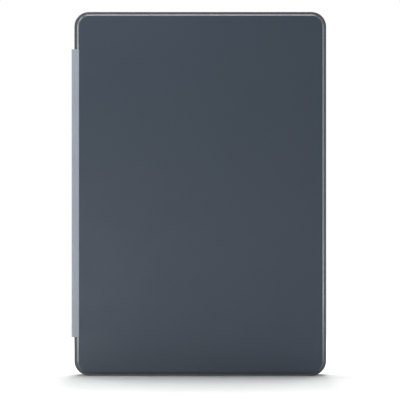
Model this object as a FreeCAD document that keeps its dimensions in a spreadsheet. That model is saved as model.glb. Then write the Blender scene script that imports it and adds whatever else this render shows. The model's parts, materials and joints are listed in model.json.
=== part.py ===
import FreeCAD, Part
import os
import Sketcher

# A closed tablet keyboard case standing on a short edge, in millimetres.
# X runs across the case with the spine at its low end, Y from the cover's outer face to the back, Z up.

sizes = {
    # outline shared by both halves
    "case_width": 185.0,
    "case_height": 267.2,
    "corner_radius": 10.8,
    # layers from the cover's outer face to the back
    "panel_thickness": 1.4,
    "tray_floor": 0.8,
    "cavity_depth": 3.2,
    "deck_thickness": 1.2,
    "parting_gap": 0.3,
    "lip_thickness": 1.0,
    "bay_depth": 7.0,
    "lining_thickness": 0.4,
    "back_plate_thickness": 2.9,
    # cover panel and tray
    "panel_side_inset": 1.5,
    "panel_end_inset": 1.4,
    "panel_bevel": 1.3,
    "panel_side_gap": 0.1,
    "tray_wall": 3.0,
    "tray_rim": 1.6,
    "tray_edge_radius": 0.5,
    "deck_side_gap": 0.1,
    # soft strip along the spine
    "strip_foot_margin": 28.4,
    "strip_head_margin": 27.5,
    "strip_thickness": 1.4,
    "strip_overlap": 3.6,
    "strip_reach": 1.97,
    "fold_gap": 0.1,
    # tablet bay and soft frame
    "frame_side_wall": 3.5,
    "frame_end_wall": 2.75,
    "bay_radius": 6.5,
    "lip_reach": 1.6,
    "frame_skirt": 1.9,
    "frame_back_radius": 1.4,
    "frame_front_bevel": 0.5,
    "lining_gap": 0.4,
    # openings in the frame
    "port_length": 13.0,
    "port_depth": 6.0,
    "speaker_length": 24.0,
    "speaker_depth": 4.4,
    "speaker_offset": 52.0,
    "button_depth": 4.8,
    "power_button_length": 16.0,
    "power_button_offset": 60.0,
    "volume_button_length": 32.0,
    "volume_button_drop": 30.0,
    # camera window
    "camera_window": 36.0,
    "camera_radius": 9.0,
    "camera_margin": 10.0,
    "camera_ring_width": 1.6,
    "camera_ring_sink": 0.3,
    # kickstand
    "stand_side_margin": 16.5,
    "stand_end_margin": 29.6,
    "stand_thickness": 1.5,
    "stand_axis_offset": 4.0,
    "stand_barrel_radius": 1.1,
    "stand_barrel_play": 0.15,
    "stand_gap": 0.35,
    "stand_corner": 8.0,
    "stand_swing": 115.0,
    "stand_notch_radius": 8.0,
    "grip_width": 2.2,
    "grip_length": 150.0,
    "pin_radius": 0.6,
    "pin_play": 0.05,
    "pin_length": 14.0,
    # magnets
    "magnet_width": 1.6,
    "magnet_depth": 2.6,
    "magnet_length": 22.0,
    "magnet_offset": 72.0,
    # keys
    "row_pitch": 18.0,
    "key_end_margin": 7.6,
    "key_gap": 2.2,
    "key_columns": 14.0,
    "function_pitch": 11.0,
    "key_corner": 1.1,
    "key_height": 1.6,
    "key_top": 0.9,
    "key_wall": 1.0,
    "key_sink": 0.55,
    "well_margin": 0.6,
    "well_corner": 2.2,
    "well_offset": 10.0,
    "plate_margin": 1.1,
    "support_thickness": 0.5,
    "membrane_thickness": 0.3,
    "dome_sheet_thickness": 0.3,
    "dome_radius": 3.0,
    "dome_corners": 6.0,
    # click pad
    "pad_side_margin": 11.5,
    "pad_end_margin": 77.6,
    "pad_corner": 4.0,
    "pad_gap": 0.35,
    "pad_thickness": 0.9,
    "pad_spacing": 6.5,
    "pad_spring_thickness": 0.25,
    "pad_spring_lap": 1.8,
    "pad_switch_size": 5.0,
    "pad_switch_gap": 0.5,
    "pad_plunger_radius": 1.2,
    "pad_plunger_height": 0.5,
    # electronics in the palm rest
    "board_key_gap": 11.9,
    "board_length": 56.0,
    "board_thickness": 0.8,
    "board_edge_gap": 1.2,
    "board_side_gap": 8.0,
    "can_size": 14.0,
    "can_height": 1.1,
    "battery_key_gap": 7.9,
    "battery_length": 60.0,
    "battery_thickness": 2.6,
    "battery_edge_gap": 3.0,
    "socket_width": 8.94,
    "socket_depth": 3.16,
    "socket_length": 7.3,
    "socket_wall": 0.3,
    "socket_tongue": 0.7,
    "socket_tongue_width": 6.7,
    "socket_recess": 0.5,
    "socket_side_margin": 26.5,
    "socket_gap": 0.1,
    "knob_width": 3.2,
    "knob_depth": 1.8,
    "knob_travel": 2.5,
    "knob_gap": 0.35,
    "knob_sink": 0.1,
    "knob_side_margin": 50.5,
    "scoop_width": 12.0,
    "scoop_depth": 3.4,
    "scoop_sink": 0.8,
    "switch_body_width": 10.0,
    "switch_body_depth": 3.0,
    "switch_body_length": 3.4,
    "switch_body_gap": 0.4,
    # lenses and bumpers
    "lens_width": 1.4,
    "lens_spacing": 6.0,
    "lens_edge": 7.6,
    "bumper_radius": 3.2,
    "bumper_height": 0.9,
    "bumper_sink": 0.4,
    "bumper_edge": 9.0,
}

doc = FreeCAD.newDocument("TabletKeyboardCase")
sheet = doc.addObject("Spreadsheet::Sheet", "sizes")
for row, (alias, value) in enumerate(sizes.items(), start=1):
    sheet.set(f"A{row}", alias)
    sheet.set(f"B{row}", str(value))
    sheet.setAlias(f"B{row}", alias)
doc.recompute()

nodes = {}


def size(expression):
    words = expression.replace("(", " ( ").replace(")", " ) ").split()
    return "(" + " ".join(f"sizes.{word}" if word in sizes else word for word in words) + ")"


def number(expression):
    return float(sheet.evalExpression(expression))


# Planes across the case, each an expression for its Y.
layers = [
    ("panel_back", "panel_thickness"),
    ("cavity_floor", "tray_floor"),
    ("deck_under", "cavity_depth"),
    ("deck_top", "deck_thickness"),
    ("frame_front", "parting_gap"),
    ("lip_back", "lip_thickness"),
    ("lining_face", "bay_depth"),
    ("plate_inner", "lining_thickness"),
    ("case_back", "back_plate_thickness"),
]
plane = {"case_front": size("(0 - " + " - ".join(thickness for _, thickness in layers) + " ) / 2")}
for (name, thickness), below in zip(layers, ["case_front"] + [name for name, _ in layers]):
    plane[name] = f"({plane[below]} + sizes.{thickness})"

mid_height = size("case_height / 2")
half_width = size("case_width / 2")
top_edge = size("case_height")
fold_x = size("0 - case_width / 2 - strip_reach + strip_thickness / 2")
front_fold_y = f"({plane['case_front']} + sizes.strip_thickness / 2)"
back_fold_y = f"({plane['case_back']} - sizes.strip_thickness / 2)"
strip_low = size("strip_foot_margin")
strip_high = size("case_height - strip_head_margin")
strip_inner_x = size("strip_overlap - case_width / 2")
bay_width = size("case_width - 2 * frame_side_wall")
bay_height = size("case_height - 2 * frame_end_wall")
tablet_mid_y = f"({plane['lip_back']} + sizes.bay_depth / 2)"
stand_axis_x = size("stand_axis_offset")
stand_axis_y = f"({plane['case_back']} - sizes.stand_barrel_radius)"
stand_free_x = size("stand_side_margin - case_width / 2")
stand_low = size("stand_end_margin")
stand_high = size("case_height - stand_end_margin")
camera_x = size("case_width / 2 - camera_margin - camera_window / 2")
camera_z = size("case_height - camera_margin - camera_window / 2")
well_x = size("well_offset - case_width / 2")
row_span = size("function_pitch + 5 * row_pitch")
key_block = size("case_height - 2 * key_end_margin")
key_pitch = f"({key_block} / sizes.key_columns)"
keys_high_x = f"({well_x} + {row_span} + sizes.plate_margin)"
keys_left_z = f"({mid_height} + {key_block} / 2)"
key_low_y = f"({plane['deck_top']} - sizes.key_sink - sizes.key_height)"
dome_base_y = f"({plane['cavity_floor']} + sizes.support_thickness + sizes.membrane_thickness)"
pad_low_x = f"({well_x} + {row_span} + sizes.pad_spacing)"
pad_high_x = size("case_width / 2 - pad_side_margin")
pad_mid_x = f"(({pad_low_x} + {pad_high_x}) / 2)"
pad_width = f"({pad_high_x} - {pad_low_x})"
pad_length = size("case_height - 2 * pad_end_margin")
socket_x = size("case_width / 2 - socket_side_margin")
knob_x = size("case_width / 2 - knob_side_margin")
knob_mid_x = size("case_width / 2 - knob_side_margin + knob_travel / 2")


def body(label, base_y="0", base_x="0", base_z="0"):
    part = doc.addObject("PartDesign::Body", label)
    part.Label = label
    for axis, expression in zip("xyz", (base_x, base_y, base_z)):
        if expression != "0":
            part.setExpression(f"Placement.Base.{axis}", expression)
    return part


def origin_feature(part, role):
    return next(feature for feature in part.Origin.OriginFeatures if feature.Role == role)


def sketch_on(part, name, role="XZ_Plane", offset=("0", "0", "0")):
    sketch = part.newObject("Sketcher::SketchObject", name)
    sketch.AttachmentSupport = [(origin_feature(part, role), "")]
    sketch.MapMode = "FlatFace"
    for axis, expression in zip("xyz", offset):
        if expression != "0":
            sketch.setExpression(f"AttachmentOffset.Base.{axis}", expression)
    return sketch


def facing(x, z, depth="0"):
    return (x, z, f"-({depth})" if depth != "0" else "0")


def rounded_rectangle(sketch, width, height, radius):
    half_x = number(width) / 2
    half_z = number(height) / 2
    corner = number(radius)
    in_x = half_x - corner
    in_z = half_z - corner
    ends = [
        ((-in_x, half_z), (in_x, half_z)),
        ((half_x, in_z), (half_x, -in_z)),
        ((in_x, -half_z), (-in_x, -half_z)),
        ((-half_x, -in_z), (-half_x, in_z)),
    ]
    centres = [(in_x, in_z), (in_x, -in_z), (-in_x, -in_z), (-in_x, in_z)]
    turn = 1.5707963267948966
    for first, second in ends:
        sketch.addGeometry(Part.LineSegment(FreeCAD.Vector(*first, 0), FreeCAD.Vector(*second, 0)))
    for index, centre in enumerate(centres):
        circle = Part.Circle(FreeCAD.Vector(*centre, 0), FreeCAD.Vector(0, 0, 1), corner)
        start = -index * turn
        sketch.addGeometry(Part.ArcOfCircle(circle, start, start + turn))
    for line in range(4):
        arc = 4 + line
        following = (line + 1) % 4
        sketch.addConstraint(Sketcher.Constraint("Tangent", line, 2, arc, 2))
        sketch.addConstraint(Sketcher.Constraint("Tangent", arc, 1, following, 1))
        sketch.addConstraint(Sketcher.Constraint("Horizontal" if line % 2 == 0 else "Vertical", line))
    for arc in (5, 6, 7):
        sketch.addConstraint(Sketcher.Constraint("Equal", 4, arc))
    sketch.addConstraint(Sketcher.Constraint("Symmetric", 4, 3, 6, 3, -1, 1))
    bind(sketch, Sketcher.Constraint("Radius", 4, corner), radius)
    bind(sketch, Sketcher.Constraint("DistanceX", 3, 1, 1, 1, 2 * half_x), width)
    bind(sketch, Sketcher.Constraint("DistanceY", 2, 1, 0, 1, 2 * half_z), height)


def rectangle(sketch, width, height):
    half_x = number(width) / 2
    half_z = number(height) / 2
    corners = [(-half_x, half_z), (half_x, half_z), (half_x, -half_z), (-half_x, -half_z)]
    for first, second in zip(corners, corners[1:] + corners[:1]):
        sketch.addGeometry(Part.LineSegment(FreeCAD.Vector(*first, 0), FreeCAD.Vector(*second, 0)))
    for line in range(4):
        sketch.addConstraint(Sketcher.Constraint("Coincident", line, 2, (line + 1) % 4, 1))
        sketch.addConstraint(Sketcher.Constraint("Horizontal" if line % 2 == 0 else "Vertical", line))
    sketch.addConstraint(Sketcher.Constraint("Symmetric", 0, 1, 2, 1, -1, 1))
    bind(sketch, Sketcher.Constraint("DistanceX", 0, 1, 0, 2, 2 * half_x), width)
    bind(sketch, Sketcher.Constraint("DistanceY", 1, 2, 1, 1, 2 * half_z), height)


def circles(sketch, centres, radius):
    for index, (x, z) in enumerate(centres):
        centre = FreeCAD.Vector(number(x), number(z), 0)
        sketch.addGeometry(Part.Circle(centre, FreeCAD.Vector(0, 0, 1), number(radius)))
        bind(sketch, Sketcher.Constraint("Radius", index, number(radius)), radius)
        for kind, expression in (("DistanceX", x), ("DistanceY", z)):
            value = number(expression)
            if value > 0:
                bind(sketch, Sketcher.Constraint(kind, -1, 1, index, 3, value), expression)
            else:
                bind(sketch, Sketcher.Constraint(kind, index, 3, -1, 1, -value), f"-({expression})")


def bind(sketch, constraint, expression):
    index = sketch.addConstraint(constraint)
    sketch.setExpression(f"Constraints[{index}]", expression)


def pad(part, sketch, length, name, forward=False):
    feature = part.newObject("PartDesign::Pad", name)
    feature.Profile = sketch
    feature.setExpression("Length", length)
    feature.Reversed = not forward
    return feature


def pocket(part, sketch, length, name):
    doc.recompute()
    before = part.Tip.Shape.Volume
    feature = part.newObject("PartDesign::Pocket", name)
    feature.Profile = sketch
    feature.setExpression("Length", length)
    doc.recompute()
    if feature.Shape.Volume >= before - 1e-6:
        raise RuntimeError(f"{name} cuts nothing")
    return feature


def rounded_plate(label, base_y, width, height, radius, thickness, centre_x="0", centre_z=mid_height):
    part = body(label, base_y)
    outline = sketch_on(part, f"{label}_outline", offset=facing(centre_x, centre_z))
    rounded_rectangle(outline, width, height, radius)
    pad(part, outline, thickness, f"{label}_pad")
    doc.recompute()
    return part


def rounded_pocket(part, name, width, height, radius, depth, length, centre_x="0", centre_z=mid_height):
    sketch = sketch_on(part, f"{name}_outline", offset=facing(centre_x, centre_z, depth))
    rounded_rectangle(sketch, width, height, radius)
    return pocket(part, sketch, length, name)


def round_pocket(part, name, centres, radius, depth, length):
    sketch = sketch_on(part, f"{name}_outline", offset=facing("0", "0", depth))
    circles(sketch, centres, radius)
    return pocket(part, sketch, length, name)


def round_pad(part, name, centres, radius, depth, length, forward=False):
    sketch = sketch_on(part, f"{name}_outline", offset=facing("0", "0", depth))
    circles(sketch, centres, radius)
    feature = pad(part, sketch, length, name, forward)
    doc.recompute()
    return feature


def face_across(feature, value):
    for index, face in enumerate(feature.Shape.Faces, start=1):
        bounds = face.BoundBox
        if abs(bounds.YMin - value) < 1e-4 and abs(bounds.YMax - value) < 1e-4:
            return f"Face{index}"
    raise RuntimeError(f"{feature.Label} has no face at {value}")


def edges_along_y(feature, below_x=float("inf")):
    return [
        f"Edge{index}"
        for index, edge in enumerate(feature.Shape.Edges, start=1)
        if edge.BoundBox.YLength > 0.5 and edge.BoundBox.XMax < below_x
    ]


def soften(part, kind, edges, amount, name):
    feature = part.Tip
    edge = part.newObject(f"PartDesign::{kind}", name)
    edge.Base = (feature, edges)
    edge.setExpression("Size" if kind == "Chamfer" else "Radius", amount)
    doc.recompute()


def soften_face(part, kind, at_y, amount, name):
    soften(part, kind, [face_across(part.Tip, number(at_y))], amount, name)


def box(name, x_span, y_span, z_span):
    block = doc.addObject("Part::Box", name)
    spans = zip("xyz", ("Length", "Width", "Height"), (x_span, y_span, z_span))
    for axis, side, (low, high) in spans:
        block.setExpression(side, f"({high}) - ({low})")
        block.setExpression(f"Placement.Base.{axis}", low)
    return block


def centred(middle, length):
    return (f"({middle}) - ({length}) / 2", f"({middle}) + ({length}) / 2")


def rod(name, x, y, z_span, radius):
    cylinder = doc.addObject("Part::Cylinder", name)
    cylinder.setExpression("Radius", radius)
    cylinder.setExpression("Height", f"({z_span[1]}) - ({z_span[0]})")
    for axis, expression in zip("xyz", (x, y, z_span[0])):
        cylinder.setExpression(f"Placement.Base.{axis}", expression)
    return cylinder


def fuse(name, shapes):
    joined = doc.addObject("Part::MultiFuse", name)
    joined.Shapes = shapes
    joined.Refine = True
    return joined


def cut(label, base, tools):
    result = doc.addObject("Part::Cut", f"{label}_cut")
    result.Base = base
    result.Tool = tools[0] if len(tools) == 1 else fuse(f"{label}_tools", tools)
    return result


def group(name, shapes):
    joined = doc.addObject("Part::Compound", name)
    joined.Links = shapes
    return joined


def keep(label, shape):
    for other in doc.getObjectsByLabel(label):
        other.Label = f"{label}_blank"
    shape.Label = label
    nodes[label] = shape


def make_cover_panel():
    width = size("case_width - 2 * panel_side_inset")
    height = size("case_height - 2 * panel_end_inset")
    radius = size("corner_radius - panel_side_inset")
    thickness = size("panel_thickness")
    panel = rounded_plate("cover_panel", plane["case_front"], width, height, radius, thickness)
    soften_face(panel, "Chamfer", "0", size("panel_bevel"), "panel_bevel_edge")
    strip_seat = box(
        "panel_strip_seat",
        (f"-({half_width})", f"{strip_inner_x} + sizes.panel_side_gap"),
        (f"{plane['case_front']} - 1", f"{plane['panel_back']} + 1"),
        (f"{strip_low} - sizes.panel_side_gap", f"{strip_high} + sizes.panel_side_gap"),
    )
    keep("cover_panel", cut("cover_panel", panel, [strip_seat]))


def make_keyboard_tray():
    depth = size("tray_floor + cavity_depth + deck_thickness")
    seat_depth = size("tray_floor + cavity_depth")
    tray = rounded_plate(
        "keyboard_tray", plane["panel_back"], size("case_width"), top_edge, size("corner_radius"), depth
    )
    soften_face(tray, "Fillet", "0", size("tray_edge_radius"), "tray_edge")
    rounded_pocket(
        tray,
        "deck_seat",
        size("case_width - 2 * tray_rim"),
        size("case_height - 2 * tray_rim"),
        size("corner_radius - tray_rim"),
        seat_depth,
        size("deck_thickness"),
    )
    rounded_pocket(
        tray,
        "tray_cavity",
        size("case_width - 2 * tray_wall"),
        size("case_height - 2 * tray_wall"),
        size("corner_radius - tray_wall"),
        size("tray_floor"),
        size("cavity_depth"),
    )
    openings = [
        box(
            "socket_opening",
            centred(socket_x, size("socket_width + 2 * socket_gap")),
            (plane["cavity_floor"], plane["deck_under"]),
            (f"{top_edge} - sizes.tray_wall - 1", f"{top_edge} + 1"),
        ),
        box(
            "knob_slot",
            (
                f"{knob_x} - sizes.knob_width / 2 - sizes.knob_gap",
                f"{knob_x} + sizes.knob_width / 2 + sizes.knob_travel + sizes.knob_gap",
            ),
            centred(socket_mid_y, size("knob_depth + 2 * knob_gap")),
            (f"{top_edge} - sizes.tray_wall - 1", f"{top_edge} + 1"),
        ),
        box(
            "finger_scoop",
            centred(knob_mid_x, size("scoop_width")),
            centred(socket_mid_y, size("scoop_depth")),
            (f"{top_edge} - sizes.scoop_sink", f"{top_edge} + 1"),
        ),
    ]
    keep("keyboard_tray", cut("keyboard_tray", tray, openings))


socket_mid_y = f"({plane['cavity_floor']} + sizes.cavity_depth / 2)"


def make_keyboard_deck():
    deck = rounded_plate(
        "keyboard_deck",
        plane["deck_under"],
        size("case_width - 2 * tray_rim - 2 * deck_side_gap"),
        size("case_height - 2 * tray_rim - 2 * deck_side_gap"),
        size("corner_radius - tray_rim - deck_side_gap"),
        size("deck_thickness"),
    )
    through = size("deck_thickness")
    rounded_pocket(
        deck,
        "key_well",
        f"{row_span} + 2 * sizes.well_margin",
        f"{key_block} + 2 * sizes.well_margin",
        size("well_corner"),
        "0",
        through,
        f"{well_x} + {row_span} / 2",
    )
    rounded_pocket(
        deck,
        "pad_opening",
        f"{pad_width} + 2 * sizes.pad_gap",
        f"{pad_length} + 2 * sizes.pad_gap",
        size("pad_corner + pad_gap"),
        "0",
        through,
        pad_mid_x,
    )
    for step, (x, z) in enumerate(lens_places):
        hole = sketch_on(deck, f"lens_hole_{step}_outline", offset=facing(x, z))
        rectangle(hole, size("lens_width"), size("lens_width"))
        pocket(deck, hole, through, f"lens_hole_{step}")
    bumper_floor = size("deck_thickness - bumper_sink")
    sink = size("bumper_sink")
    round_pocket(deck, "bumper_seats", bumper_places, size("bumper_radius"), bumper_floor, sink)
    keep("keyboard_deck", deck)


lens_x = size("lens_edge - case_width / 2")
lens_low_z = f"{mid_height} - {key_block} / 2 + sizes.lens_edge"
lens_places = [(lens_x, f"{lens_low_z} + {step} * sizes.lens_spacing") for step in range(3)]
bumper_places = [
    (f"{side}({half_width} - sizes.bumper_edge)", place)
    for side, place in (
        ("", size("bumper_edge")),
        ("", size("case_height - bumper_edge")),
    )
]


def key_floor_span():
    x_span = (f"{well_x} - sizes.plate_margin", f"{well_x} + {row_span} + sizes.plate_margin")
    return x_span, centred(mid_height, f"{key_block} + 2 * sizes.plate_margin")


def make_key_floor():
    x_span, z_span = key_floor_span()
    support_top = f"{plane['cavity_floor']} + sizes.support_thickness"
    keep("key_support_plate", box("key_support_plate", x_span, (plane["cavity_floor"], support_top), z_span))
    keep("membrane_sheet", box("membrane_sheet", x_span, (support_top, dome_base_y), z_span))


# Rows from the spine side to the palm rest, each key group with its count and its width in columns.
key_layout = [
    "function_row_keys 14 1",
    "number_row_keys 13 1, backspace_key 1 1",
    "tab_key 1 1.25, upper_letter_keys 12 1, backslash_key 1 0.75",
    "caps_lock_key 1 1.5, home_letter_keys 11 1, enter_key 1 1.5",
    "left_shift_key 1 2, lower_letter_keys 10 1, right_shift_key 1 1, up_arrow_key 1 1",
    "left_modifier_keys 4 1, space_bar 1 5, right_modifier_keys 2 1, left_arrow_key 1 1, down_arrow_key 1 1, "
    "right_arrow_key 1 1",
]
key_rows = []
for row, line in enumerate(key_layout):
    column = 0
    for entry in line.split(", "):
        label, count, width = entry.split()
        key_rows.append((label, row, column, float(width), int(count)))
        column += int(count) * float(width)


def key_place(row, first, width):
    if row == 0:
        x = f"{well_x} + sizes.function_pitch / 2"
    else:
        x = f"{well_x} + sizes.function_pitch + {row - 0.5} * sizes.row_pitch"
    return x, f"{keys_left_z} - {first + width / 2} * {key_pitch}"


def repeat_along_row(part, count, name):
    pattern = part.newObject("PartDesign::LinearPattern", name)
    pattern.TransformMode = "Whole shape"
    pattern.Direction = (origin_feature(part, "Z_Axis"), [""])
    pattern.Reversed = True
    pattern.Mode = "Extent"
    pattern.setExpression("Length", f"{count - 1} * {key_pitch}")
    pattern.Occurrences = count
    part.Tip = pattern
    doc.recompute()


def make_keys(label, row, first, width, count):
    keys = body(label, key_low_y)
    x, z = key_place(row, first, width)
    pitch = "sizes.function_pitch" if row == 0 else "sizes.row_pitch"
    across = f"{pitch} - sizes.key_gap"
    along = f"{width} * {key_pitch} - sizes.key_gap"
    outline = sketch_on(keys, f"{label}_outline", offset=facing(x, z))
    rectangle(outline, across, along)
    cap = pad(keys, outline, size("key_height"), f"{label}_cap")
    doc.recompute()
    soften(keys, "Chamfer", edges_along_y(cap), size("key_corner"), f"{label}_corners")
    hollow = sketch_on(keys, f"{label}_hollow_outline", offset=facing(x, z))
    rectangle(hollow, f"{across} - 2 * sizes.key_wall", f"{along} - 2 * sizes.key_wall")
    pocket(keys, hollow, size("key_height - key_top"), f"{label}_hollow")
    if count > 1:
        repeat_along_row(keys, count, f"{label}_row")
    keep(label, keys)


def dome(name, x, z):
    bump = doc.addObject("Part::Prism", name)
    bump.setExpression("Polygon", "sizes.dome_corners")
    bump.setExpression("Circumradius", "sizes.dome_radius")
    bump.setExpression("Height", f"{key_low_y} + sizes.key_height - sizes.key_top - {dome_base_y}")
    bump.Placement.Rotation = FreeCAD.Rotation(FreeCAD.Vector(1, 0, 0), -90)
    for axis, expression in zip("xyz", (x, dome_base_y, z)):
        bump.setExpression(f"Placement.Base.{axis}", expression)
    return bump


def make_dome_sheet():
    x_span, z_span = key_floor_span()
    y_span = (dome_base_y, f"{dome_base_y} + sizes.dome_sheet_thickness")
    shapes = [box("dome_sheet_base", x_span, y_span, z_span)]
    for label, row, first, width, count in key_rows:
        for step in range(count):
            shapes.append(dome(f"{label}_dome", *key_place(row, first + step, width)))
    keep("dome_sheet", fuse("dome_sheet_solid", shapes))


def make_touchpad():
    pad_low_y = f"({plane['deck_under']})"
    keep(
        "touchpad_plate",
        rounded_plate(
            "touchpad_plate",
            pad_low_y,
            pad_width,
            pad_length,
            size("pad_corner"),
            size("pad_thickness"),
            pad_mid_x,
        ),
    )
    spring_low = f"{plane['deck_under']} - sizes.pad_spring_thickness"
    lap = size("2 * ( pad_gap + pad_spring_lap )")
    spring = box(
        "touchpad_spring",
        centred(pad_mid_x, f"{pad_width} + {lap}"),
        (spring_low, plane["deck_under"]),
        centred(mid_height, f"{pad_length} + {lap}"),
    )
    keep("touchpad_spring", spring)
    switch_top = f"{spring_low} - sizes.pad_switch_gap"
    can_top = f"{switch_top} - sizes.pad_plunger_height"
    can = box(
        "pad_switch_can",
        centred(pad_mid_x, "sizes.pad_switch_size"),
        (plane["cavity_floor"], can_top),
        centred(mid_height, "sizes.pad_switch_size"),
    )
    plunger_span = ("0", "sizes.pad_plunger_height")
    plunger = rod("pad_switch_plunger", pad_mid_x, can_top, plunger_span, "sizes.pad_plunger_radius")
    plunger.Placement.Rotation = FreeCAD.Rotation(FreeCAD.Vector(1, 0, 0), -90)
    plunger.setExpression("Placement.Base.z", mid_height)
    keep("touchpad_switch", fuse("touchpad_switch_solid", [can, plunger]))


board_high_z = f"({top_edge} - sizes.tray_wall - sizes.board_edge_gap)"
board_low_z = f"({board_high_z} - sizes.board_length)"
board_high_x = size("case_width / 2 - tray_wall - board_side_gap")
board_low_x = f"({keys_high_x} + sizes.board_key_gap)"
socket_high_z = f"({top_edge} - sizes.socket_recess)"


def make_electronics():
    board_top = f"{plane['cavity_floor']} + sizes.board_thickness"
    board_y = (plane["cavity_floor"], board_top)
    board = box("board_blank", (board_low_x, board_high_x), board_y, (board_low_z, board_high_z))
    socket_notch = box(
        "board_socket_notch",
        centred(socket_x, size("socket_width + 2 * knob_gap")),
        (f"{plane['cavity_floor']} - 1", f"{board_top} + 1"),
        (f"{socket_high_z} - sizes.socket_length - sizes.knob_gap", f"{board_high_z} + 1"),
    )
    switch_notch = box(
        "board_switch_notch",
        centred(knob_mid_x, size("switch_body_width + 2 * knob_gap")),
        (f"{plane['cavity_floor']} - 1", f"{board_top} + 1"),
        (f"{switch_high_z} - sizes.switch_body_length - sizes.knob_gap", f"{board_high_z} + 1"),
    )
    keep("main_board", cut("main_board", board, [socket_notch, switch_notch]))
    can_z = f"({board_low_z} + sizes.board_length / 3)"
    can = box(
        "controller_can",
        centred(f"({board_low_x} + {board_high_x}) / 2", size("can_size")),
        (board_top, f"{board_top} + sizes.can_height"),
        centred(can_z, size("can_size")),
    )
    keep("controller_can", can)
    battery_low_z = size("tray_wall + battery_edge_gap")
    battery = box(
        "battery_cell",
        (f"{keys_high_x} + sizes.battery_key_gap", board_high_x),
        (plane["cavity_floor"], f"{plane['cavity_floor']} + sizes.battery_thickness"),
        (battery_low_z, f"{battery_low_z} + sizes.battery_length"),
    )
    keep("battery_cell", battery)


switch_high_z = f"({top_edge} - sizes.tray_wall - sizes.switch_body_gap)"


def make_charging_socket():
    socket = body("charging_socket", socket_mid_y, socket_x, f"{socket_high_z} - sizes.socket_length")
    shell = sketch_on(socket, "socket_shell_outline", "XY_Plane")
    rounded_rectangle(shell, size("socket_width"), size("socket_depth"), size("socket_depth / 2 - 0.05"))
    pad(socket, shell, size("socket_length"), "socket_shell", forward=True)
    mouth = sketch_on(socket, "socket_mouth_outline", "XY_Plane", ("0", "0", size("socket_length")))
    rounded_rectangle(
        mouth,
        size("socket_width - 2 * socket_wall"),
        size("socket_depth - 2 * socket_wall"),
        size("socket_depth / 2 - socket_wall - 0.05"),
    )
    pocket(socket, mouth, size("socket_length - 1"), "socket_mouth")
    tongue = sketch_on(socket, "socket_tongue_outline", "XY_Plane")
    rectangle(tongue, size("socket_tongue_width"), size("socket_tongue"))
    pad(socket, tongue, size("socket_length - 1"), "socket_tongue_pad", forward=True)
    keep("charging_socket", socket)


def make_power_switch():
    knob = box(
        "power_switch_knob",
        centred(knob_x, size("knob_width")),
        centred(socket_mid_y, size("knob_depth")),
        (f"{switch_high_z} + sizes.knob_gap", f"{top_edge} - sizes.knob_sink"),
    )
    keep("power_switch_knob", knob)
    case = box(
        "switch_body",
        centred(knob_mid_x, size("switch_body_width")),
        (plane["cavity_floor"], f"{plane['cavity_floor']} + sizes.switch_body_depth"),
        (f"{switch_high_z} - sizes.switch_body_length", switch_high_z),
    )
    keep("switch_body", case)


def make_small_deck_parts():
    deck_y = (plane["deck_under"], plane["deck_top"])
    lenses = [
        box(f"lens_{step}", centred(x, size("lens_width")), deck_y, centred(z, size("lens_width")))
        for step, (x, z) in enumerate(lens_places)
    ]
    keep("indicator_lenses", group("indicator_lenses", lenses))
    bumpers = body("screen_bumpers", f"{plane['deck_top']} - sizes.bumper_sink")
    round_pad(bumpers, "bumper_pads", bumper_places, size("bumper_radius"), "0", size("bumper_height"))
    keep("screen_bumpers", bumpers)


def magnet_pair(label, x_span, y_span):
    length = size("magnet_length")
    places = {"lower": f"{mid_height} - sizes.magnet_offset", "upper": f"{mid_height} + sizes.magnet_offset"}
    return [box(f"{label}_{end}", x_span, y_span, centred(z, length)) for end, z in places.items()]


def make_magnets():
    wall_x = size("case_width / 2 - tray_wall")
    cover_x = (f"{wall_x} - sizes.magnet_width", wall_x)
    cover_y = (plane["cavity_floor"], f"{plane['cavity_floor']} + sizes.magnet_depth")
    keep("cover_magnets", group("cover_magnets", magnet_pair("cover_magnet", cover_x, cover_y)))
    keep("shell_magnets", group("shell_magnets", magnet_pair("shell_magnet", *shell_magnet_spans())))


def shell_magnet_spans():
    inner_x = f"{bay_width} / 2"
    front_y = plane["lip_back"]
    return (inner_x, f"{inner_x} + sizes.magnet_width"), (front_y, f"{front_y} + sizes.magnet_depth")


def frame_openings():
    port_y = centred(tablet_mid_y, size("port_depth"))
    speaker_y = centred(tablet_mid_y, size("speaker_depth"))
    button_y = centred(tablet_mid_y, size("button_depth"))
    bottom_wall = ("-1", f"{mid_height} - {bay_height} / 2 + 1")
    top_wall = (f"{mid_height} + {bay_height} / 2 - 1", f"{top_edge} + 1")
    side_wall = (f"{bay_width} / 2 - 1", f"{half_width} + 1")
    tools = [box("port_opening", centred("0", size("port_length")), port_y, bottom_wall)]
    for wall_name, wall in (("bottom", bottom_wall), ("top", top_wall)):
        for side in ("-", ""):
            middle = f"{side}sizes.speaker_offset"
            name = f"{wall_name}_speaker_{'left' if side else 'right'}"
            if name != "top_speaker_right":
                tools.append(box(name, centred(middle, size("speaker_length")), speaker_y, wall))
    power_x = centred(size("power_button_offset"), size("power_button_length"))
    tools.append(box("power_opening", power_x, button_y, top_wall))
    volume_z = centred(size("case_height - volume_button_drop"), size("volume_button_length"))
    tools.append(box("volume_opening", side_wall, button_y, volume_z))
    return tools


def strip_seat_in_back(name):
    return box(
        name,
        (f"-({half_width}) - 1", f"{strip_inner_x} + sizes.panel_side_gap"),
        (f"{plane['case_back']} - sizes.strip_thickness", f"{plane['case_back']} + 1"),
        (f"{strip_low} - sizes.panel_side_gap", f"{strip_high} + sizes.panel_side_gap"),
    )


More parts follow.
